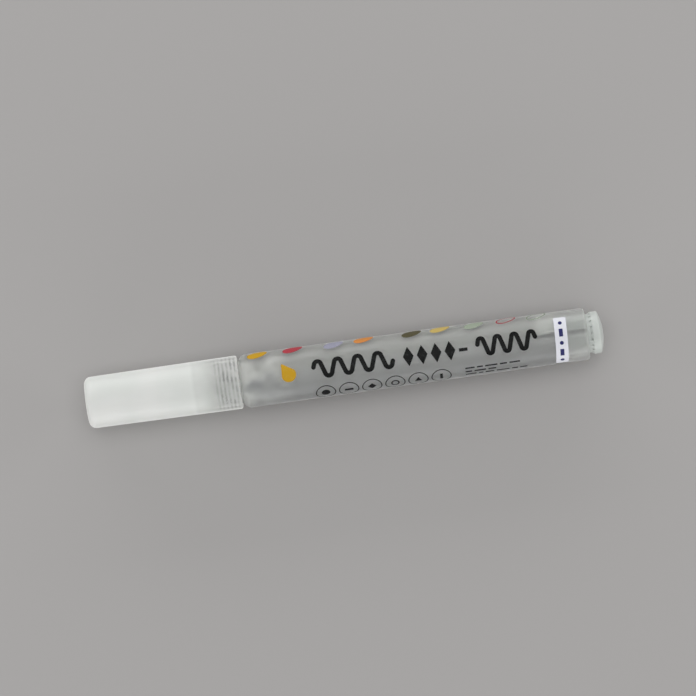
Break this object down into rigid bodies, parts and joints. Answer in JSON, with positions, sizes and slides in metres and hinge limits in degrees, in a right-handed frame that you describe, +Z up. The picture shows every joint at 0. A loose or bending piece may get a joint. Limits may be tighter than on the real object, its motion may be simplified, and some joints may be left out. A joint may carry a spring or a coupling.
{
  "type": "chalk paint marker",
  "caption": "Round valve-action paint marker with a frosted barrel, a pull-off cap over a spring-loaded bullet nib, a loose mixing ball and a domed rear plug.",
  "frame": {"origin": "on the surface that the marker lies on, under the middle of its length", "axes": "+X along the marker's axis from the cap to the rear plug, +Z up"},
  "size_m": [0.1456, 0.015, 0.015],
  "materials": {
    "cap": "milky translucent polypropylene, satin",
    "liner": "natural soft polyethylene",
    "barrel": "frosted translucent polypropylene with paint behind it, printed",
    "plug": "natural polypropylene, satin",
    "nose": "white polypropylene, satin",
    "nib": "pressed polyester fibre, stained by the paint",
    "gasket": "moulded elastomer",
    "plunger": "natural acetal",
    "cage": "natural polypropylene",
    "spring": "drawn stainless wire",
    "ball": "polished stainless"
  },
  "bodies": {
    "barrel": {"barrel": "barrel", "nose_section": "nose", "rear_plug": "plug", "valve_gasket": "gasket", "valve_cage": "cage", "valve_spring": "spring"},
    "cap": {"cap_shell": "cap", "cap_seal_liner": "liner"},
    "nib": {"nib": "nib", "valve_plunger": "plunger"},
    "ball": {"mixing_ball": "ball"}
  },
  "joints": [
    {"name": "cap_pull", "type": "slide", "parent": "barrel", "child": "cap", "axis": [-1, 0, 0], "range_m": [0, 0.05]},
    {"name": "nib_press", "type": "slide", "parent": "barrel", "child": "nib", "axis": [1, 0, 0], "range_m": [0, 0.0018], "stiffness_N_per_m": 500, "springref_m": -0.003, "deforming": ["valve_spring"]},
    {"name": "ball_roll", "type": "slide", "parent": "barrel", "child": "ball", "axis": [1, 0, 0], "range_m": [0, 0.0795]}
  ]
}
